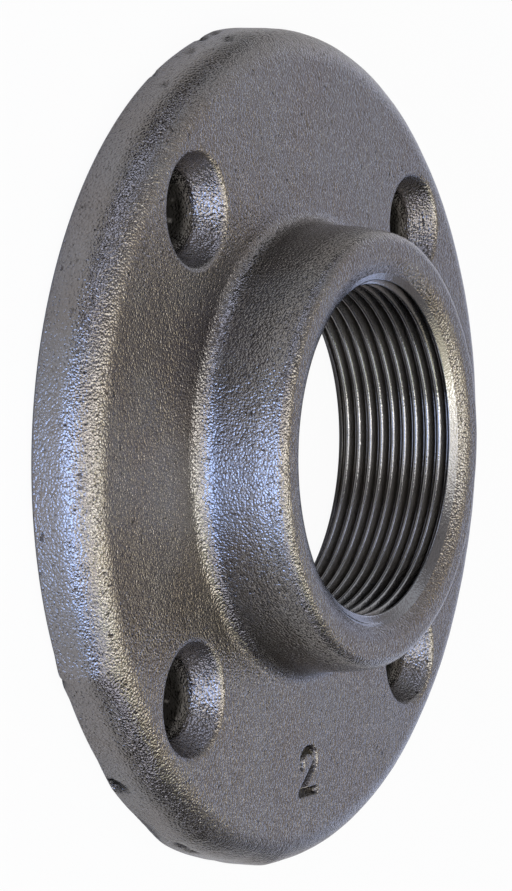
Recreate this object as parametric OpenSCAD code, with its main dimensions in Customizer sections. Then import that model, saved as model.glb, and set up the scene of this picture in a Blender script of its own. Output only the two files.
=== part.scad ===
// Threaded floor flange: one iron casting, a round plate with a tapped hub
// and a ring of countersunk fixing holes.
// Millimetres. The back face lies on Z = 0 and the hub points up, with the thread's axis on Z.

/* [Plate] */
// diameter over the rim, at the back face
plate_d = 145; // [138:1:180]
// thickness of the plate at its flat front face
plate_t = 10.5; // [9:0.5:14]
// radius of the rounded front edge of the rim
rim_r = 6; // [2:0.2:7]
// casting draft of the rim: how far its side leans in up to the front face
rim_draft = 0.4; // [0:0.1:1]
// chamfer on the back edge of the rim
rim_chamfer = 0.6; // [0.2:0.1:1.5]

/* [Hub] */
// diameter of the hub at its top, were its lip sharp
hub_d = 75; // [71:0.2:80]
// overall height, from the back face to the top of the lip
hub_h = 25.5; // [22:0.5:36]
// casting draft of the hub: how far its side leans in from the plate up to the top
hub_draft = 1.6; // [0:0.1:2]
// fillet between the plate and the hub
root_r = 2.5; // [1:0.5:5]
// rounding of the lip
lip_r = 2.4; // [1:0.2:3.2]

/* [Pipe thread] */
// minor diameter of the parallel pipe thread, over its crests
thread_d = 56.66; // [54:0.01:58]
// diameter of the lead-in chamfer at the front mouth
mouth_d = 60.5; // [59.6:0.1:62]
// depth of the lead-in chamfer at the front mouth
mouth_depth = 1; // [0.6:0.1:2.5]
// width of the dished ring between the lip and the front mouth
dish_w = 2.2; // [1:0.1:3.2]
// depth of the dished ring, from the top of the lip to the front mouth
dish_depth = 1.2; // [0.4:0.1:2.2]
// diameter of the lead-in chamfer at the back face
back_mouth_d = 61.2; // [59.6:0.1:63]
// depth of the lead-in chamfer at the back face
back_mouth_depth = 2.2; // [0.6:0.1:3]

/* [Fixing holes] */
// number of fixing holes
hole_count = 4; // [3:1:6]
// diameter of the circle that the holes lie on
hole_circle_d = 112; // [106:1:114]
// diameter of the straight part of a hole
hole_d = 14; // [10:0.5:16]
// diameter of the countersink at the front face
sink_d = 19.6; // [17:0.2:21]
// angle of the countersink, from side to side, in degrees
sink_angle = 55; // [50:1:100]
// rounding of the countersink's edge
sink_edge_r = 0.8; // [0.2:0.1:1.2]

/* [Hidden] */
$fn = 120;

// how far a cutting shape runs past the faces that it opens
over = 2;
// how far a rounding's circle runs past the faces that it joins, so that they cross
lap = 0.0005;
iron = [0.29, 0.27, 0.27];

// radii and heights where the section turns a corner
rim_foot = plate_d / 2;
rim_top = rim_foot - rim_draft;
hub_top = hub_d / 2;
hub_foot = hub_top + hub_draft;
mouth_z = hub_h - dish_depth;

// the fillet's centre, as far from the plate's face as from the leaning side of the hub
hub_lean = atan(hub_draft / (hub_h - plate_t));
root_centre = [hub_foot + root_r * (1 / cos(hub_lean) - tan(hub_lean)), plate_t + root_r];

// the countersink's cone, and the rounding where it meets the front face
hole_rad = hole_d / 2;
sink_rad = sink_d / 2;
sink_half = sink_angle / 2;
sink_depth = (sink_rad - hole_rad) / tan(sink_half);
sink_edge_centre = [sink_rad + sink_edge_r * tan((90 - sink_half) / 2), plate_t - sink_edge_r];
sink_touch = sink_edge_centre + sink_edge_r * [-cos(sink_half), sin(sink_half)];

// A round post in half section, its side leaning in from foot to top and its top corner rounded
module drafted_post(foot_r, foot_z, top_r, top_z, corner_r) {
    lean = atan((foot_r - top_r) / (top_z - foot_z));
    centre = [top_r - corner_r * (1 / cos(lean) - tan(lean)), top_z - corner_r];
    difference() {
        polygon([[0, foot_z], [foot_r, foot_z], [top_r, top_z], [0, top_z]]);
        difference() {
            polygon([
                centre,
                centre + (corner_r + over) * [cos(lean), sin(lean)],
                [foot_r + over, top_z + over],
                [centre[0], top_z + over]
            ]);
            translate(centre) circle(r = corner_r + lap);
        }
    }
}

// Half section of the plate, from the chamfered back edge up to the rounded front edge
module plate_section() {
    polygon([
        [0, 0],
        [rim_foot - rim_chamfer, 0],
        [rim_foot, rim_chamfer],
        [0, rim_chamfer]
    ]);
    drafted_post(rim_foot, rim_chamfer, rim_top, plate_t, rim_r);
}

// The fillet that carries the plate's face up into the hub's side
module root_section() {
    difference() {
        polygon([
            [hub_foot - over, plate_t - over],
            [root_centre[0], plate_t - over],
            root_centre,
            root_centre - (root_r + over) * [cos(hub_lean), sin(hub_lean)]
        ]);
        translate(root_centre) circle(r = root_r + lap);
    }
}

// Half section of the tapped bore: back lead-in, thread wall, front lead-in and dished lip
module bore_section() {
    polygon([
        [0, -over],
        [back_mouth_d / 2, -over],
        [back_mouth_d / 2, 0],
        [thread_d / 2, back_mouth_depth],
        [thread_d / 2, mouth_z - mouth_depth],
        [mouth_d / 2, mouth_z],
        [mouth_d / 2 + dish_w, hub_h],
        [mouth_d / 2 + dish_w, hub_h + over],
        [0, hub_h + over]
    ]);
}

// Half section of the whole casting
module casting_section() {
    difference() {
        union() {
            plate_section();
            drafted_post(hub_foot, plate_t, hub_top, hub_h, lip_r);
            root_section();
        }
        bore_section();
    }
}

// Half section of one fixing hole, with its countersink and the countersink's soft edge
module hole_section() {
    top = plate_t + root_r + over;
    polygon([
        [0, -over],
        [hole_rad, -over],
        [hole_rad, plate_t - sink_depth],
        [sink_rad, plate_t],
        [sink_rad, top],
        [0, top]
    ]);
    difference() {
        polygon([
            sink_edge_centre,
            sink_touch,
            [hole_rad, plate_t],
            [hole_rad, top],
            [sink_edge_centre[0], top]
        ]);
        translate(sink_edge_centre) circle(r = sink_edge_r + lap);
    }
}

// The fixing holes, evenly round the thread and half a step from +X
module fixing_holes() {
    step = 360 / hole_count;
    for (i = [0 : hole_count - 1])
        rotate([0, 0, (i + 0.5) * step])
            translate([hole_circle_d / 2, 0, 0])
                rotate_extrude() hole_section();
}

// The flange, cast, drilled and tapped as one piece
module flange_casting() {
    color(iron)
        difference() {
            rotate_extrude() casting_section();
            fixing_holes();
        }
}

flange_casting();
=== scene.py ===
import bmesh
import bpy
import numpy as np
from mathutils import Matrix, Vector


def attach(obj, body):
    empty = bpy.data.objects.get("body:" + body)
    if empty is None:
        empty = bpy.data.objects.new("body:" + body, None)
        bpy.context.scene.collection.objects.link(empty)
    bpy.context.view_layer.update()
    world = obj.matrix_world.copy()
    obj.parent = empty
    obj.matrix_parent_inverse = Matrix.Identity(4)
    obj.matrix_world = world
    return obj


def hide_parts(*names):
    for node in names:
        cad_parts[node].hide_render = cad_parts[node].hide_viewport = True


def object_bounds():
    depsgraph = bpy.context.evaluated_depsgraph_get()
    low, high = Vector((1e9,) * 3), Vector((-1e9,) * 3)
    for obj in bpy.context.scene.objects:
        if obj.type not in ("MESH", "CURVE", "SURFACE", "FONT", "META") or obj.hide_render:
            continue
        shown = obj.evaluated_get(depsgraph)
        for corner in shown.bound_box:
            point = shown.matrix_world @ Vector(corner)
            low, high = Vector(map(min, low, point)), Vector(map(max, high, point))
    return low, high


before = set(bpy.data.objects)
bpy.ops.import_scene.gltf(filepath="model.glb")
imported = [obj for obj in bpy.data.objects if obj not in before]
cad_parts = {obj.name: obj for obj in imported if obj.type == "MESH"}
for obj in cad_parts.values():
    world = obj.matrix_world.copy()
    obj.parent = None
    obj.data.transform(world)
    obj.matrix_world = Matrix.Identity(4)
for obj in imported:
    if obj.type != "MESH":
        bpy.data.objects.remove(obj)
cadLow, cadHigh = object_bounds()
mm = 0.001
weldReach = 2e-6                # metres, points nearer than this are one
print("frame loaded, CAD box", list(cadLow), list(cadHigh))


# shape helpers: all lengths in mm until the mesh is made

def straightRun(start, end, step):
    # points from start to end, evenly spaced by no more than a step
    count = max(1, int(np.ceil(np.linalg.norm(end - start) / step)))
    return start + (end - start) * np.linspace(0, 1, count + 1)[:, None]


def softPath(corners, radii, step, turn):
    # a line through sharp corners, each rounded by an arc that touches both of its sides:
    # the arc's ends lie radius / tan(half the corner's angle) back along the sides
    p = np.asarray(corners, float)
    pieces = []
    last = p[0]
    for before, corner, after, radius in zip(p[:-2], p[1:-1], p[2:], radii):
        u = (before - corner) / np.linalg.norm(before - corner)
        v = (after - corner) / np.linalg.norm(after - corner)
        half = np.arccos(np.clip(u @ v, -1, 1)) / 2
        centre = corner + (u + v) / np.linalg.norm(u + v) * radius / np.sin(half)
        start = corner + u * radius / np.tan(half)
        end = corner + v * radius / np.tan(half)
        a0 = np.arctan2(*(start - centre)[::-1])
        sweep = (np.arctan2(*(end - centre)[::-1]) - a0 + np.pi) % (2 * np.pi) - np.pi
        a = a0 + sweep * np.linspace(0, 1, max(4, int(np.degrees(abs(sweep)) / turn) + 1))
        arc = centre + radius * np.stack([np.cos(a), np.sin(a)], -1)
        pieces += [straightRun(last, start, step)[:-1], arc[:-1]]
        last = end
    return np.concatenate(pieces + [straightRun(last, p[-1], step)])


def latheGrid(section, angles):
    # a section of (radius, height) points carried round Z: x = r cos a, y = r sin a, z = h
    r = section[:, 0][:, None]
    h = section[:, 1][:, None]
    a = angles[None, :]
    return np.stack([r * np.cos(a), r * np.sin(a), h + 0 * a], -1)


def gridFaces(rows, columns, first, flip, closed):
    # quads between neighbouring rows and columns; in a closed grid the last column joins the first
    across = columns if closed else columns - 1
    i, j = np.meshgrid(np.arange(rows - 1), np.arange(across), indexing="ij")
    k = (j + 1) % columns
    quads = np.stack([i * columns + j, i * columns + k, (i + 1) * columns + k, (i + 1) * columns + j], -1)
    quads = quads.reshape(-1, 4) + first
    return quads[:, ::-1] if flip else quads


def meshFromGrids(name, grids, shape=None, paintedShade=None):
    # grids of points become one mesh, with the points on their shared edges merged;
    # shape moves the points, and the last argument gives each of them a share of painted shade
    verts, faces, first = [], [], 0
    for points, flip, closed in grids:
        rows, columns = points.shape[:2]
        verts.append(points.reshape(-1, 3))
        faces.append(gridFaces(rows, columns, first, flip, closed))
        first += rows * columns
    plain, faces = np.concatenate(verts), np.concatenate(faces)
    verts = shape(plain) if shape else plain
    mesh = bpy.data.meshes.new(name)
    mesh.vertices.add(len(verts))
    mesh.vertices.foreach_set("co", (verts * mm).astype(np.float32).ravel())
    mesh.loops.add(faces.size)
    mesh.loops.foreach_set("vertex_index", faces.astype(np.int32).ravel())
    mesh.polygons.add(len(faces))
    mesh.polygons.foreach_set("loop_start", np.arange(0, faces.size, 4, dtype=np.int32))
    mesh.update(calc_edges=True)
    if paintedShade:
        # each point's share of painted shade, kept as a point attribute
        shadeShare = mesh.attributes.new("shadeShare", "FLOAT", "POINT")
        shadeShare.data.foreach_set("value", paintedShade(plain).astype(np.float32))
    work = bmesh.new()
    work.from_mesh(mesh)
    bmesh.ops.remove_doubles(work, verts=work.verts, dist=weldReach)
    work.to_mesh(mesh)
    work.free()
    mesh.shade_smooth()
    obj = bpy.data.objects.new(name, mesh)
    bpy.context.collection.objects.link(obj)
    print(name, len(mesh.vertices), "vertices,", len(mesh.polygons), "faces")
    return obj


def smoothStep(x, low, high):
    # 0 below low, 1 above high, and 3t^2 - 2t^3 between
    t = np.clip((x - low) / (high - low), 0, 1)
    return t * t * (3 - 2 * t)


def slowNoise(points, wavelength, seed, waves):
    # sum of sine waves of 0.7 to 1.5 wavelengths, each with its own direction and phase,
    # scaled to about -1..1
    rng = np.random.default_rng(seed)
    direction = rng.normal(size=(waves, 3))
    direction /= np.linalg.norm(direction, axis=1)[:, None]
    k = 2 * np.pi / (wavelength * rng.uniform(0.7, 1.5, waves))
    phase = rng.uniform(0, 2 * np.pi, waves)
    return np.sin(points @ (direction * k[:, None]).T + phase).sum(1) * (1.6 / waves)


def shiftNoise(points, size, wavelength, seeds, waves):
    # a noise for each of x, y and z, with a seed of its own
    return size * np.stack([slowNoise(points, wavelength, seed, waves) for seed in seeds], -1)


# the casting: back face, rim, plate, hub and fixing holes

casting = {
    "rimRadius": 72.5,
    "height": cadHigh.z / mm,
    "plateThick": 10.5,
    "rimRound": 6.0,
    "rimDraft": 0.4,
    "rimChamfer": 0.6,
    "chamferSoft": (0.25, 0.35),  # rounding of the chamfer's two edges
    "hubFoot": 39.0,            # radius where the hub's side meets the plate's face, were the fillet sharp
    "hubKnee": (38.1, 20.8),    # radius and height from which the side leans in further
    "kneeLean": 12.5,           # degrees
    "kneeRound": 8.0,
    "rootRound": 3.4,           # where the hub faces -Y
    "rootReach": 0.93,          # from the sharp corner to the fillet's ends, as a share of its radius
    "rootTight": 0.74,          # share of the fillet left at the hub's sides and back
    "lipRound": 2.4,
    "mouthRadius": 30.25,
    "dishWidth": 2.2,
    "dishDepth": 1.2,
    "dishRound": 4.5,
    "backMouthRadius": 30.6,
    "backMiddle": 37.5,         # a row of points between the back mouth and the patches
    "holeCircle": 56.0,
    "holeRadius": 6.7,
    "sinkRadius": 9.5,          # were its edge sharp
    "sinkAngle": 62.0,          # degrees, from side to side
    "sinkEdge": 1.4,
    "neckRound": 2.0,           # rounding where the countersink meets the straight hole
    "wallTop": (3.4, 5.0),      # heights between which the rough wall gives way to the countersink
    "ringInner": 44.5,          # the holes' patches lie between these two circles
    "ringOuter": 66.33,
    "patchRows": (8, 4),        # on the front and on the back
    "patchGrowth": 1.3,         # power by which a patch's rows widen away from the hole
    "spokeHalf": 6.0,           # degrees, half the plain strip between two holes' patches
    "spokeRows": (5, 52, 6),    # outside, on and inside the numeral
    "spokeSteps": (52, 12, 12, 12),
    "arcSteps": (72, 72, 124, 124),
    "rimPath": (1.2, 6.5),      # longest straight step and, in degrees, longest turn of each section
    "hubPath": (1.1, 7),
    "holePath": (0.7, 8),
    "waviness": (0.08, 17, (11, 12, 13), 14),    # of the sand mould: size, wavelength, seeds, waves
    "ripple": (0.035, 4.4, (14, 15, 16), 24),
    "holeRough": 0.32,          # coarse unevenness of the straight hole walls
    "lumps": ((1.0, 1.9, 21, 24), (0.7, 1.0, 22, 24)),  # its parts: share, wavelength, seed, waves
    "rimFade": (3.5, 0.8),      # in from the rim, where ground spots and chips fade in
    "mouthFade": (0.2, 2.2),    # out from the mouth, where unevenness fades in
    "backFade": 2.0,            # up from the flat back face, likewise
}

# sunk nominal size: a plain numeral 2 in strokes, across and up from the middle of the mark
numeral = {
    "radius": 56.5,
    "reach": 5.8,               # half the length of its place along the radius
    "depth": 0.9,
    "halfStroke": 0.68,
    "wall": 0.36,
    "bowl": (0.0, 1.95, 2.45, 1.95, 205.0, -32.0),  # oval: centre, half widths, from and to in degrees
    "bowlPoints": 12,
    "foot": (-2.7, -3.5),
    "baseEnd": (2.8, -3.5),
    "flatness": 0.01,           # points this near the plate's face lie on it
}

# rim left by hand grinding: angle from +X in degrees, and how far the rim stands off its circle
groundRim = [(-65, 0), (-61.8, 0.4), (-58, -0.35), (-47, -0.45), (-42.3, 0.1), (-35.5, -0.2), (-28, 0.45),
             (-18, -0.15), (-12.5, -0.25), (-6, 0.3), (-2, 0)]
groundTop = [(-176, 0), (-166, 0.45), (-160, 0.1), (-156, 0)]

# chips in the rim: angle from +X in degrees, height, depth, and reach along the rim and up it
rimChips = [(-61.3, 0.5, 0.5, 0.8, 0.8), (-43.3, 1.3, 1.2, 1.0, 0.7), (-42.3, 2.3, 1.1, 1.2, 0.7),
            (-31.0, 1.0, 0.5, 5.0, 0.8), (-26.2, 3.7, 1.0, 1.3, 0.8), (-23.2, 3.8, 1.0, 1.6, 0.7),
            (-162.0, 1.2, 0.6, 1.6, 0.7), (-164.9, 1.8, 0.6, 1.2, 0.6), (-162.3, 6.2, 0.5, 1.2, 0.8),
            (-156.5, 3.0, 0.5, 1.3, 0.5), (-146.0, 4.8, 0.4, 0.7, 0.6), (-149.0, 0.8, 0.4, 0.9, 0.7)]
chipNoise = (1.6, 31, 14)       # wavelength, seed, waves
chipRough = 0.35

# painted shade on the casting, as shares of the surface: the holes' deep walls, the rim's chips, the
# numeral
paintedShadeParts = {
    "hole": 0.95,
    "spotNoise": (1.8, 23, 24),  # spots in the holes left free of painted shade: wavelength, seed, waves
    "spotEdge": (0.35, 0.75),
    "rimBand": 4.0,             # chips count this far in from the rim
    "perChip": 1.2,             # share for each mm of a chip's depth
    "mostChip": 0.8,
    "numeral": 0.8,
}


def ringAngles(c):
    # angles of the lathed parts: a strip's steps, then a hole patch's, four times round
    half = np.radians(c["spokeHalf"])
    parts = []
    for quarter in range(4):
        middle = quarter * np.pi / 2
        edge = middle + half
        parts += [np.linspace(middle - half, edge, c["spokeSteps"][quarter], endpoint=False),
                  np.linspace(edge, middle + np.pi / 2 - half, c["arcSteps"][quarter], endpoint=False)]
    return np.concatenate(parts)


def spokeRadii(c):
    # radii from the rim's rounding in to the hub, close together where the numeral is sunk
    outer = numeral["radius"] + numeral["reach"]
    inner = numeral["radius"] - numeral["reach"]
    rows = c["spokeRows"]
    return np.concatenate([np.linspace(c["ringOuter"], outer, rows[0], endpoint=False),
                           np.linspace(outer, inner, rows[1], endpoint=False),
                           np.linspace(inner, c["ringInner"], rows[2])])


def rimSection(c):
    # from the back face out over the chamfer, up the leaning side and over the rounding to the flat face
    rim, t = c["rimRadius"], c["plateThick"]
    corners = [(c["ringOuter"], 0), (rim - c["rimChamfer"], 0), (rim, c["rimChamfer"]),
               (rim - c["rimDraft"], t), (c["ringOuter"], t)]
    return softPath(corners, c["chamferSoft"] + (c["rimRound"],), *c["rimPath"])


def hubSection(c):
    # from the flat face up the root fillet and the leaning side, over the lip
    # and down the dished ring to the mouth
    t, h, knee = c["plateThick"], c["height"], c["hubKnee"]
    top = knee[0] - (h - knee[1]) * np.tan(np.radians(c["kneeLean"]))
    corners = [(c["ringInner"], t), (c["hubFoot"], t), knee, (top, h),
               (c["mouthRadius"] + c["dishWidth"], h), (c["mouthRadius"], h - c["dishDepth"])]
    radii = (c["rootRound"], c["kneeRound"], c["lipRound"], c["dishRound"])
    return softPath(corners, radii, *c["hubPath"])


def holeSection(c):
    # from the plate's face over the soft edge, down the countersink and round its neck
    # into the straight hole; a first point, a hair outside the edge's arc, is left out
    t, half = c["plateThick"], np.radians(c["sinkAngle"] / 2)
    start = c["sinkRadius"] + c["sinkEdge"] * np.tan((np.pi / 2 - half) / 2) + 0.001
    neck = t - (c["sinkRadius"] - c["holeRadius"]) / np.tan(half)
    corners = [(start, t), (c["sinkRadius"], t), (c["holeRadius"], neck), (c["holeRadius"], 0)]
    return softPath(corners, (c["sinkEdge"], c["neckRound"]), *c["holePath"])[1:]


def holePatch(c, quarter, holeRadius, height, rows):
    # the plate round one hole: each grid line runs from the hole's circle to the patch's edge,
    # straight in (angle, radius) round the flange's axis
    half, n = np.pi / 4 - np.radians(c["spokeHalf"]), c["arcSteps"][quarter]
    arc = np.linspace(-half, half, n, endpoint=False)
    down = spokeRadii(c)[:-1]
    up = spokeRadii(c)[:0:-1]
    angle = np.concatenate([arc, np.full(len(down), half), -arc, np.full(len(up), -half)])
    radius = np.concatenate([np.full(n, c["ringOuter"]), down, np.full(n, c["ringInner"]), up])
    bearing = np.arctan2(angle * c["holeCircle"], radius - c["holeCircle"])
    x = c["holeCircle"] + holeRadius * np.cos(bearing)
    y = holeRadius * np.sin(bearing)
    t = np.linspace(0, 1, rows)[:, None] ** c["patchGrowth"]
    a = np.arctan2(y, x) * (1 - t) + angle * t + (quarter + 0.5) * np.pi / 2
    r = np.hypot(x, y) * (1 - t) + radius * t
    return np.stack([r * np.cos(a), r * np.sin(a), np.full_like(r, height)], -1), bearing


def holeWall(c, quarter, bearing):
    # the hole's section carried round the hole's own axis, at the bearings of its patch
    section = holeSection(c)
    r = section[:, 0][:, None]
    h = section[:, 1][:, None]
    x = c["holeCircle"] + r * np.cos(bearing)[None, :]
    y = r * np.sin(bearing)[None, :]
    turn = (quarter + 0.5) * np.pi / 2
    ca, sa = np.cos(turn), np.sin(turn)
    return np.stack([x * ca - y * sa, x * sa + y * ca, h + 0 * x], -1)


def spokeStrip(c, quarter, height, radii):
    # the flat strip between two holes' patches: radius down the rows, angle along the columns
    half = np.radians(c["spokeHalf"])
    a = quarter * np.pi / 2 + np.linspace(-half, half, c["spokeSteps"][quarter] + 1)[None, :]
    r = radii[:, None]
    return np.stack([r * np.cos(a), r * np.sin(a), height + 0 * r * a], -1)


def numeralDepth(n, across, up):
    # distance from the numeral's strokes, turned into a flat-bottomed groove with sloping walls
    cx, cy, wide, tall, fromDeg, toDeg = n["bowl"]
    a = np.radians(np.linspace(fromDeg, toDeg, n["bowlPoints"]))
    bowl = np.stack([cx + wide * np.cos(a), cy + tall * np.sin(a)], -1)
    path = np.concatenate([bowl, [n["foot"], n["baseEnd"]]])
    far = np.full(across.shape, np.inf)
    for start, end in zip(path[:-1], path[1:]):
        line = end - start
        t = np.clip(((across - start[0]) * line[0] + (up - start[1]) * line[1]) / (line @ line), 0, 1)
        far = np.minimum(far, np.hypot(across - start[0] - t * line[0], up - start[1] - t * line[1]))
    inner = n["halfStroke"] - n["wall"] / 2
    outer = n["halfStroke"] + n["wall"] / 2
    return n["depth"] * (1 - smoothStep(far, inner, outer))


def sunkMark(points):
    # how deep the numeral lies below each point: nought but on the plain strip at +X of the plate's face
    c, n = casting, numeral
    angle = np.degrees(np.arctan2(points[:, 1], points[:, 0]))
    onFace = (np.abs(angle) < c["spokeHalf"]) & (np.abs(points[:, 2] - c["plateThick"]) < n["flatness"])
    deep = np.zeros(len(points))
    deep[onFace] = numeralDepth(n, points[onFace, 1], n["radius"] - points[onFace, 0])
    return deep


def chipDepth(points):
    # how deep the rim is chipped: each chip is a bowl, its wall steepened by a fourth power
    # of the distance and roughened by noise
    angle = np.degrees(np.arctan2(points[:, 1], points[:, 0]))
    rough = 1 + chipRough * slowNoise(points, *chipNoise)
    deep = np.zeros(len(points))
    for chipAngle, chipHeight, depth, along, up in rimChips:
        sideways = (angle - chipAngle) * np.pi / 180 * casting["rimRadius"] / along
        far = sideways ** 2 + ((points[:, 2] - chipHeight) / up) ** 2
        deep = np.maximum(deep, depth * np.exp(-(far * rough) ** 2))
    return deep


def inHoles(points):
    # where the straight wall of a hole is: 1 deep in it, 0 from the countersink up;
    # with the way from each point to its hole's axis
    c = casting
    angle = np.arctan2(points[:, 1], points[:, 0])
    middle = np.floor(angle / (np.pi / 2)) * np.pi / 2 + np.pi / 4
    way = c["holeCircle"] * np.stack([np.cos(middle), np.sin(middle)], -1) - points[:, :2]
    far = np.linalg.norm(way, axis=1)
    deep = (far < c["sinkRadius"]) * (1 - smoothStep(points[:, 2], *c["wallTop"]))
    return deep, way / far[:, None]


def tightRoot(points):
    # the root fillet shrinks towards the hub's sides: points keep their direction from the fillet's
    # sharp corner and come nearer to it, by the whole share within the fillet
    # and ever less out to the patches' inner circle
    c = casting
    radius = np.hypot(points[:, 0], points[:, 1])
    across = radius - c["hubFoot"]
    up = points[:, 2] - c["plateThick"]
    far = np.hypot(across, up)
    fillet = c["rootReach"] * c["rootRound"]
    reach = c["ringInner"] - c["hubFoot"]
    share = 1 - (1 - c["rootTight"]) * (1 - np.maximum(-points[:, 1] / radius, 0) ** 2)
    outer = share * fillet + (far - fillet) * (reach - share * fillet) / (reach - fillet)
    near = np.where(far < fillet, share * far, np.where(far < reach, outer, far)) / far
    out = points.copy()
    out[:, :2] *= ((c["hubFoot"] + across * near) / radius)[:, None]
    out[:, 2] = c["plateThick"] + up * near
    return out


def handFinish(points):
    # the uneven root fillet, mould waviness all over, rough hole walls, the rim's ground spots and chips
    # fading in from the flat faces, and the sunk numeral
    c = casting
    angle = np.degrees(np.arctan2(points[:, 1], points[:, 0]))
    radius = np.hypot(points[:, 0], points[:, 1])
    onRim = smoothStep(radius, *(c["rimRadius"] - fade for fade in c["rimFade"]))
    stand = np.interp(angle, *zip(*groundRim)) + np.interp(angle, *zip(*groundTop))
    stand -= chipDepth(points)
    wave = shiftNoise(points, *c["waviness"]) + shiftNoise(points, *c["ripple"])
    inside = smoothStep(radius, *(c["mouthRadius"] + fade for fade in c["mouthFade"]))
    upper = smoothStep(points[:, 2], 0, c["backFade"])
    out = tightRoot(points) + wave * (inside * upper)[:, None]
    out[:, :2] *= (1 + onRim * stand / radius)[:, None]
    deep, way = inHoles(points)
    lumps = sum(share * slowNoise(points, *noise) for share, *noise in c["lumps"])
    out[:, :2] += way * (c["holeRough"] * deep * upper * lumps)[:, None]
    out[:, 2] -= sunkMark(points)
    return np.clip(out, np.array(cadLow) / mm, np.array(cadHigh) / mm)


def paintedShadeShares(points):
    # the largest of three shares of painted shade: on the holes' straight walls but for spots left out,
    # in the rim's chips by their depth, and in the numeral's groove
    c, d = casting, paintedShadeParts
    radius = np.hypot(points[:, 0], points[:, 1])
    spots = smoothStep(slowNoise(points, *d["spotNoise"]), *d["spotEdge"])
    inHole = inHoles(points)[0] * (d["hole"] - d["hole"] * spots)
    chipped = np.minimum(chipDepth(points) * d["perChip"], d["mostChip"])
    onRim = (radius > c["rimRadius"] - d["rimBand"]) * chipped
    return np.maximum(np.maximum(inHole, onRim), d["numeral"] * sunkMark(points) / numeral["depth"])


def buildCasting(c):
    # rim, hub and back ring lathed round Z; then for each quarter the patches round its hole,
    # the hole's wall and the flat strips beside them
    ring = ringAngles(c)
    radii = spokeRadii(c)
    backRadii = np.array([c["backMouthRadius"], c["backMiddle"], c["ringInner"]])
    grids = [(latheGrid(rimSection(c), ring), False, True),
             (latheGrid(hubSection(c), ring), False, True),
             (latheGrid(np.stack([backRadii, 0 * backRadii], -1), ring), False, True)]
    edge = holeSection(c)[0, 0]
    frontRows, backRows = c["patchRows"]
    for quarter in range(4):
        front, bearing = holePatch(c, quarter, edge, c["plateThick"], frontRows)
        back, _ = holePatch(c, quarter, c["holeRadius"], 0.0, backRows)
        grids += [(front, True, True),
                  (back, False, True),
                  (holeWall(c, quarter, bearing), False, True),
                  (spokeStrip(c, quarter, c["plateThick"], radii), False, False),
                  (spokeStrip(c, quarter, 0.0, radii), True, False)]
    return meshFromGrids("castSkin", grids, handFinish, paintedShadeShares)


# the pipe thread: machined wall between the two mouths

thread = {
    "minorRadius": 28.33,
    "pitch": 25.4 / 11,
    "flank": 27.5,              # degrees, half the angle between two flanks
    "round": 0.1373,            # radius of the crests and roots, in pitches
    "depth": 1.479,
    "mouthDepth": 1.0,
    "backDepth": 2.2,
    "rowsPerPitch": 24,
    "steps": 288,
    "phase": 0.52,              # turn of the helix, in pitches
}


def threadRadius(t, height, angle):
    # right-hand helix: the groove follows height minus pitch times turns. Its section is the round
    # 55-degree form: an arc at the crest, a straight flank, and the same turned over down to the root
    turns = height / t["pitch"] - angle / (2 * np.pi) + t["phase"]
    fromCrest = np.abs((turns % 1.0) - 0.5) * t["pitch"]
    near = np.minimum(fromCrest, t["pitch"] / 2 - fromCrest)
    lean, radius = np.radians(t["flank"]), t["round"] * t["pitch"]
    arc = radius * np.cos(lean)
    onArc = radius - np.sqrt(radius ** 2 - np.minimum(near, arc) ** 2)
    drop = onArc + np.maximum(near - arc, 0) / np.tan(lean)
    return t["minorRadius"] + np.where(fromCrest < t["pitch"] / 4, drop, t["depth"] - drop)


def buildThread(c, t):
    # a cylinder grid whose radius is the largest of the groove's and the two lead-in cones'
    mouthHeight = c["height"] - c["dishDepth"]
    h = np.linspace(0, mouthHeight, int(mouthHeight / t["pitch"] * t["rowsPerPitch"]))[:, None]
    a = np.linspace(0, 2 * np.pi, t["steps"], endpoint=False)[None, :]
    front = c["mouthRadius"] - (mouthHeight - h) * (c["mouthRadius"] - t["minorRadius"]) / t["mouthDepth"]
    back = c["backMouthRadius"] - h * (c["backMouthRadius"] - t["minorRadius"]) / t["backDepth"]
    r = np.maximum(np.maximum(threadRadius(t, h, a), front), back)
    r[0], r[-1] = c["backMouthRadius"], c["mouthRadius"]
    points = np.stack([r * np.cos(a), r * np.sin(a), h + 0 * a], -1)
    return meshFromGrids("pipeThread", [(points, True, True)])


castSkin = buildCasting(casting)
pipeThread = buildThread(casting, thread)


# materials: object coordinates are metres, so a noise scale of 1000 gives grains of about a millimetre

def addNode(tree, kind, **inputs):
    # a node with some of its inputs set, underscores standing for spaces in their names
    node = tree.nodes.new(kind)
    for key, value in inputs.items():
        node.inputs[key.replace("_", " ")].default_value = value
    return node


def mathOf(tree, operation, first, second=0.0):
    # a Math node whose inputs are sockets or plain numbers
    node = tree.nodes.new("ShaderNodeMath")
    node.operation = operation
    for socket, value in zip(node.inputs, (first, second)):
        if isinstance(value, (int, float)):
            socket.default_value = value
        else:
            tree.links.new(value, socket)
    return node.outputs[0]


def rampOf(tree, value, fromLow, fromHigh, toLow=0.0, toHigh=1.0):
    # a value carried from one range to another, held at the ends
    node = addNode(tree, "ShaderNodeMapRange", From_Min=fromLow, From_Max=fromHigh,
                   To_Min=toLow, To_Max=toHigh)
    tree.links.new(value, node.inputs["Value"])
    return node.outputs["Result"]


def blendOf(tree, share, first, second):
    # two colours mixed by a value; each is a socket or a plain colour
    node = tree.nodes.new("ShaderNodeMix")
    node.data_type = "RGBA"
    tree.links.new(share, node.inputs["Factor"])
    for name, value in (("A", first), ("B", second)):
        socket = [s for s in node.inputs if s.name == name and s.type == "RGBA"][0]
        if isinstance(value, tuple):
            socket.default_value = value + (1,)
        else:
            tree.links.new(value, socket)
    return [s for s in node.outputs if s.type == "RGBA"][0]


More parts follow.
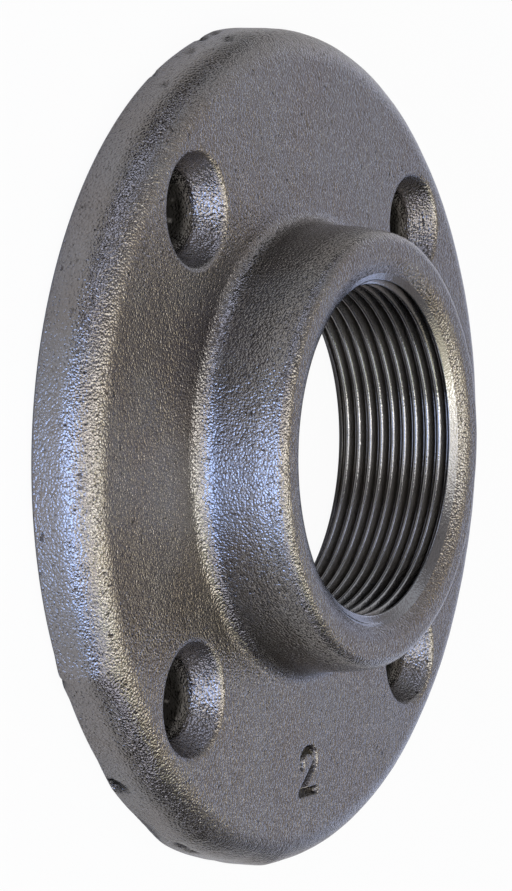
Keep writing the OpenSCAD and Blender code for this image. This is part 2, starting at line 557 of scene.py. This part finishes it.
sand = {
    "fine": {"Scale": 2600.0, "Detail": 1.0, "Roughness": 0.6},
    "domes": {"Scale": 2300.0},
    "swell": {"Scale": 500.0, "Detail": 1.0},
    "pits": {"Scale": 900.0, "Detail": 1.0},
    "mottle": {"Scale": 75.0, "Detail": 2.0},
    "fineShare": 0.55,          # what each adds to the height
    "domeShare": -0.55,
    "swellShare": 0.45,
    "pitShare": 0.4,
    "pitEdge": (0.68, 0.78),
    "crease": (0.45, 0.95, 0.0, 0.3),  # between domes: from one distance to another, shares of painted crease shade
    "mottleEdge": (0.35, 0.65),
}


def makeGrainGroup(s):
    # the mould's sand as height, pits and slow mottling, all from one position; the pits output also takes
    # the creases between domes, partly painted shade
    tree = bpy.data.node_groups.new("sandGrain", "ShaderNodeTree")
    tree.interface.new_socket("Place", in_out="INPUT", socket_type="NodeSocketVector")
    for name in ("Height", "Pits", "Mottle"):
        tree.interface.new_socket(name, in_out="OUTPUT", socket_type="NodeSocketFloat")
    start = tree.nodes.new("NodeGroupInput")
    end = tree.nodes.new("NodeGroupOutput")
    fine = addNode(tree, "ShaderNodeTexNoise", **s["fine"])
    domes = addNode(tree, "ShaderNodeTexVoronoi", **s["domes"])
    swell = addNode(tree, "ShaderNodeTexNoise", **s["swell"])
    pits = addNode(tree, "ShaderNodeTexNoise", **s["pits"])
    mottle = addNode(tree, "ShaderNodeTexNoise", **s["mottle"])
    for node in (fine, domes, swell, pits, mottle):
        tree.links.new(start.outputs["Place"], node.inputs["Vector"])
    far = domes.outputs["Distance"]
    dome = mathOf(tree, "MULTIPLY", mathOf(tree, "MULTIPLY", far, far), s["domeShare"])
    grain = mathOf(tree, "ADD", mathOf(tree, "MULTIPLY", fine.outputs["Fac"], s["fineShare"]), dome)
    grain = mathOf(tree, "ADD", grain, mathOf(tree, "MULTIPLY", swell.outputs["Fac"], s["swellShare"]))
    hollow = rampOf(tree, pits.outputs["Fac"], *s["pitEdge"])
    grain = mathOf(tree, "SUBTRACT", grain, mathOf(tree, "MULTIPLY", hollow, s["pitShare"]))
    tree.links.new(grain, end.inputs["Height"])
    # pits output: the sand's pits, and painted shade in the creases between domes
    tree.links.new(mathOf(tree, "MAXIMUM", hollow, rampOf(tree, far, *s["crease"])), end.inputs["Pits"])
    tree.links.new(rampOf(tree, mottle.outputs["Fac"], *s["mottleEdge"]), end.inputs["Mottle"])
    return tree


def startMaterial(name, m, grainGroup):
    # bare metal with the sand group fed from object coordinates:
    # its mottling shifts the roughness and its height is the bump
    mat = bpy.data.materials.new(name)
    mat.use_nodes = True
    tree = mat.node_tree
    shader = tree.nodes["Principled BSDF"]
    shader.inputs["Metallic"].default_value = 1.0
    coords = tree.nodes.new("ShaderNodeTexCoord")
    grain = tree.nodes.new("ShaderNodeGroup")
    grain.node_tree = grainGroup
    tree.links.new(coords.outputs["Object"], grain.inputs["Place"])
    tree.links.new(rampOf(tree, grain.outputs["Mottle"], 0, 1, *m["rough"]), shader.inputs["Roughness"])
    bump = addNode(tree, "ShaderNodeBump", Strength=1.0, Distance=m["grainDepth"])
    tree.links.new(grain.outputs["Height"], bump.inputs["Height"])
    tree.links.new(bump.outputs["Normal"], shader.inputs["Normal"])
    return mat, tree, coords.outputs["Object"], grain.outputs, shader.inputs["Base Color"]


iron = {
    "pale": (0.31, 0.298, 0.287),
    "brown": (0.295, 0.272, 0.252),
    # pits and creases darken to this: partly the sand's grain, partly painted shade
    "pitShade": (0.075, 0.066, 0.060),
    "pitShare": 0.8,
    # painted shade colour for the holes' deep walls, the rim's chips and the numeral's groove
    "paintedShade": (0.016, 0.015, 0.013),
    "rough": (0.18, 0.25),
    "grainDepth": 0.00018,      # metres
}


def makeIron(m, grainGroup):
    # sand-cast iron: satin metal, mottled grey and brown, darker in its pits and creases, partly the
    # sand's grain and partly painted shade, and with painted shade in the holes, chips and numeral
    mat, tree, _, grain, colour = startMaterial("sandCastIron", m, grainGroup)
    skin = blendOf(tree, grain["Mottle"], m["brown"], m["pale"])
    # pits and creases darkened: partly the sand's grain, partly painted shade
    skin = blendOf(tree, mathOf(tree, "MULTIPLY", grain["Pits"], m["pitShare"]), skin, m["pitShade"])
    # painted shade from the mesh's point attribute: holes, chips and numeral
    shadeShare = tree.nodes.new("ShaderNodeAttribute")
    shadeShare.attribute_name = "shadeShare"
    tree.links.new(blendOf(tree, shadeShare.outputs["Fac"], skin, m["paintedShade"]), colour)
    return mat


cutIron = {
    "crest": (0.41, 0.405, 0.40),
    # the grooves' painted shade at full depth
    "root": (0.13, 0.12, 0.11),
    "grooveShade": (0.2, 0.8),          # painted shade darkens the grooves from so many mm below the crests to this share of the depth
    "chamfer": (0.32, 0.325, 0.335),
    "leadEdge": (-0.00005, 0.0001),  # metres about the lead-in's foot, where its colour comes in
    "stain": (0.22, 0.18, 0.15),
    "stainShare": 0.2,
    "pitShare": 0.3,
    "rough": (0.15, 0.23),
    "grainDepth": 0.00004,      # metres
}


def makeCutIron(c, t, m, grainGroup):
    # machined iron: crests bare, grooves darkened by their depth as painted shade, the lead-in faintly
    # stained
    mat, tree, place, grain, colour = startMaterial("cutIron", m, grainGroup)
    split = tree.nodes.new("ShaderNodeSeparateXYZ")
    tree.links.new(place, split.inputs[0])
    across = mathOf(tree, "MULTIPLY", split.outputs["X"], split.outputs["X"])
    along = mathOf(tree, "MULTIPLY", split.outputs["Y"], split.outputs["Y"])
    radius = mathOf(tree, "SQRT", mathOf(tree, "ADD", across, along))
    # painted shade: the wall darkens from crest to root with depth into the grooves
    crest, root = t["minorRadius"] + m["grooveShade"][0], t["minorRadius"] + m["grooveShade"][1] * t["depth"]
    wall = blendOf(tree, rampOf(tree, radius, crest * mm, root * mm), m["crest"], m["root"])
    stain = mathOf(tree, "MULTIPLY", grain["Mottle"], m["stainShare"])
    cone = blendOf(tree, stain, m["chamfer"], m["stain"])
    # pits darken the lead-in towards the grooves' colour: partly grain, partly painted shade
    cone = blendOf(tree, mathOf(tree, "MULTIPLY", grain["Pits"], m["pitShare"]), cone, m["root"])
    lead = (c["height"] - c["dishDepth"] - t["mouthDepth"]) * mm
    bare = rampOf(tree, split.outputs["Z"], *(lead + edge for edge in m["leadEdge"]))
    tree.links.new(blendOf(tree, bare, wall, cone), colour)
    return mat


sandGrain = makeGrainGroup(sand)
castSkin.data.materials.append(makeIron(iron, sandGrain))
pipeThread.data.materials.append(makeCutIron(casting, thread, cutIron, sandGrain))
for piece in (castSkin, pipeThread):
    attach(piece, "root")
    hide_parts("flange_casting")
print("materials set")


# floor, light and camera

studio = {
    "floorSize": 6.0,
    "floorDrop": 0.0002,        # the floor lies this far below the back face
    "floorTone": 0.75,
    "floorRough": 0.15,
    "floorSheen": 1.0,
    "floorGlow": 0.95,          # share of plain white in what the camera sees of the floor
    "shade": (0.0, 0.12, 0.0),  # middle of the part's own shade on the floor, in metres
    "shadeEdge": (0.20, 0.26),  # from here outwards metal comes to see the floor as white
    "worldAhead": (-0.3, 0.4),  # Y of the directions that count as before and behind the part
    "worldDepth": (0.08, 0.32),  # level of the room there
    "worldAside": (0.3, 0.85),  # X of the directions that count as straight ahead and at the two sides
    "worldSides": (1.0, 0.10),  # share of that level there
    "worldTint": (1.04, 0.97, 0.98),
}


def buildFloor(s):
    # pale satin floor, white to the camera and, outside the part's own shade, to reflections
    half = s["floorSize"] / 2
    mesh = bpy.data.meshes.new("floor")
    corners = [(-half, -half, 0), (half, -half, 0), (half, half, 0), (-half, half, 0)]
    mesh.from_pydata(corners, [], [(0, 1, 2, 3)])
    floor = bpy.data.objects.new("floor", mesh)
    bpy.context.collection.objects.link(floor)
    floor.location.z = -s["floorDrop"]
    mat = bpy.data.materials.new("paleFloor")
    mat.use_nodes = True
    tree = mat.node_tree
    tree.nodes.clear()
    out = tree.nodes.new("ShaderNodeOutputMaterial")
    coords = tree.nodes.new("ShaderNodeTexCoord")
    reach = tree.nodes.new("ShaderNodeVectorMath")
    reach.operation = "DISTANCE"
    reach.inputs[1].default_value = s["shade"]
    tree.links.new(coords.outputs["Object"], reach.inputs[0])
    rays = tree.nodes.new("ShaderNodeLightPath")
    mirrored = mathOf(tree, "MAXIMUM", rays.outputs["Is Glossy Ray"], rays.outputs["Is Transmission Ray"])
    mirrored = mathOf(tree, "MULTIPLY", mirrored, rampOf(tree, reach.outputs["Value"], *s["shadeEdge"]))
    seen = mathOf(tree, "MAXIMUM", rays.outputs["Is Camera Ray"], mirrored)
    glow = addNode(tree, "ShaderNodeEmission", Strength=1.0)
    paint = addNode(tree, "ShaderNodeBsdfPrincipled", Base_Color=(s["floorTone"],) * 3 + (1,),
                    Roughness=s["floorRough"], Specular_IOR_Level=s["floorSheen"])
    both = tree.nodes.new("ShaderNodeMixShader")
    tree.links.new(mathOf(tree, "MULTIPLY", seen, s["floorGlow"]), both.inputs[0])
    tree.links.new(paint.outputs[0], both.inputs[1])
    tree.links.new(glow.outputs[0], both.inputs[2])
    tree.links.new(both.outputs[0], out.inputs["Surface"])
    mesh.materials.append(mat)


def buildWorld(s):
    # a plain grey room, lightest behind the part and dark at its sides
    world = bpy.data.worlds.new("softStudio")
    world.use_nodes = True
    tree = world.node_tree
    coords = tree.nodes.new("ShaderNodeTexCoord")
    split = tree.nodes.new("ShaderNodeSeparateXYZ")
    tree.links.new(coords.outputs["Generated"], split.inputs[0])
    depth = rampOf(tree, split.outputs["Y"], *s["worldAhead"], *s["worldDepth"])
    aside = mathOf(tree, "ABSOLUTE", split.outputs["X"])
    level = mathOf(tree, "MULTIPLY", depth, rampOf(tree, aside, *s["worldAside"], *s["worldSides"]))
    background = tree.nodes["Background"]
    background.inputs["Color"].default_value = s["worldTint"] + (1,)
    tree.links.new(level, background.inputs["Strength"])
    bpy.context.scene.world = world


# lamps: place and size in metres, the level each one adds where it is seen,
# and its aim where that isn't the part's middle
partMiddle = (0, 0, 0.01)
lamps = [
    ("coolLow", (0.21, -0.96, 0.22), (0.7, 0.38), (2.7, 3.8, 6.9)),
    ("frontFill", (0.14, -0.77, 0.63), (0.8, 0.44), (1.7, 1.7, 1.75)),
    ("lowCorner", (-0.71, -0.69, 0.11), (0.5, 0.20), (0.45, 0.47, 0.56)),
    ("frontHigh", (0.09, -0.49, 0.88), (0.7, 0.42), (1.3, 1.25, 1.25)),
    ("topFill", (0.08, 0.0, 1.01), (0.5, 0.5), (2.3, 2.3, 2.3)),
    ("keyStrip", (0.26, -0.22, 1.0), (0.90, 0.07), (4.5, 4.3, 4.0), (0, -0.22, 0.01)),
    ("warmBack", (0.19, 0.40, 0.91), (0.5, 0.45), (1.25, 1.13, 0.8)),
    ("leftFill", (-0.74, -0.35, 0.58), (0.6, 0.45), (1.2, 1.3, 1.7)),
    ("rightFill", (0.76, -0.31, 0.58), (0.5, 0.45), (1.5, 1.55, 1.9)),
    ("sideTop", (0.45, 0.0, 0.90), (0.5, 0.4), (0.8, 0.85, 0.6)),
    ("backLeft", (-0.67, 0.47, 0.58), (0.9, 0.45), (0.45, 0.48, 0.53)),
    ("backLow", (0.03, 0.99, 0.17), (0.9, 0.3), (0.38, 0.48, 0.77)),
    ("lowLeft", (-0.47, 0.87, 0.13), (0.5, 0.24), (0.48, 0.48, 0.52)),
    ("coolBack", (0.47, 0.87, 0.12), (0.5, 0.2), (0.22, 0.3, 0.5)),
]


def addLamp(name, place, size, level, aim=partMiddle):
    # a rectangular lamp: power = level times pi times area gives that level all over its face
    data = bpy.data.lights.new(name, "AREA")
    data.shape = "RECTANGLE"
    data.size, data.size_y = size
    data.energy = np.pi * size[0] * size[1] * max(level)
    data.color = tuple(v / max(level) for v in level)
    lamp = bpy.data.objects.new(name, data)
    lamp.location = place
    lamp.visible_camera = False
    lamp.rotation_mode = "QUATERNION"
    lamp.rotation_quaternion = (Vector(aim) - Vector(place)).to_track_quat("-Z", "Y")
    bpy.context.collection.objects.link(lamp)


cameraView = {
    "azimuth": -2.81,           # degrees, 0 looks along +Y
    "elevation": 29.06,
    "roll": 1.793,              # turn from the flange's axis lying level in the frame
    "distance": 521.0,          # mm, from the middle of the back face
    "focalPixels": 2976.0,
    "frame": (512, 891),
    "centre": (258.28, 446.22),  # pixel where the middle of the back face lies
    "sensor": 36.0,             # mm
    "clip": (0.01, 20),         # metres
}


def buildCamera(v):
    # the part lies on its back and the photograph shows it on edge:
    # the frame's right side is the flange's axis, tilted by the roll
    az, el, roll = np.radians([v["azimuth"], v["elevation"], v["roll"]])
    back = np.array([np.sin(az) * np.cos(el), -np.cos(az) * np.cos(el), np.sin(el)])
    right = np.array([0, 0, 1.0]) - back[2] * back
    right /= np.linalg.norm(right)
    up = np.cross(back, right)
    r = np.cos(roll) * right + np.sin(roll) * up
    u = np.cos(roll) * up - np.sin(roll) * right
    wide, tall = v["frame"]
    longest = max(v["frame"])
    data = bpy.data.cameras.new("photoCamera")
    data.sensor_width = v["sensor"]
    data.lens = v["focalPixels"] / longest * v["sensor"]
    data.shift_x = (wide / 2 - v["centre"][0]) / longest
    data.shift_y = (v["centre"][1] - tall / 2) / longest
    data.clip_start, data.clip_end = v["clip"]
    camera = bpy.data.objects.new("photoCamera", data)
    bpy.context.collection.objects.link(camera)
    columns = np.stack([r, u, back, back * v["distance"] * mm], -1)
    camera.matrix_world = Matrix(columns.tolist() + [[0, 0, 0, 1]])
    bpy.context.scene.camera = camera


buildFloor(studio)
buildWorld(studio)
for lamp in lamps:
    addLamp(*lamp)
buildCamera(cameraView)
bpy.context.scene.view_settings.view_transform = "Standard"
print("studio set")
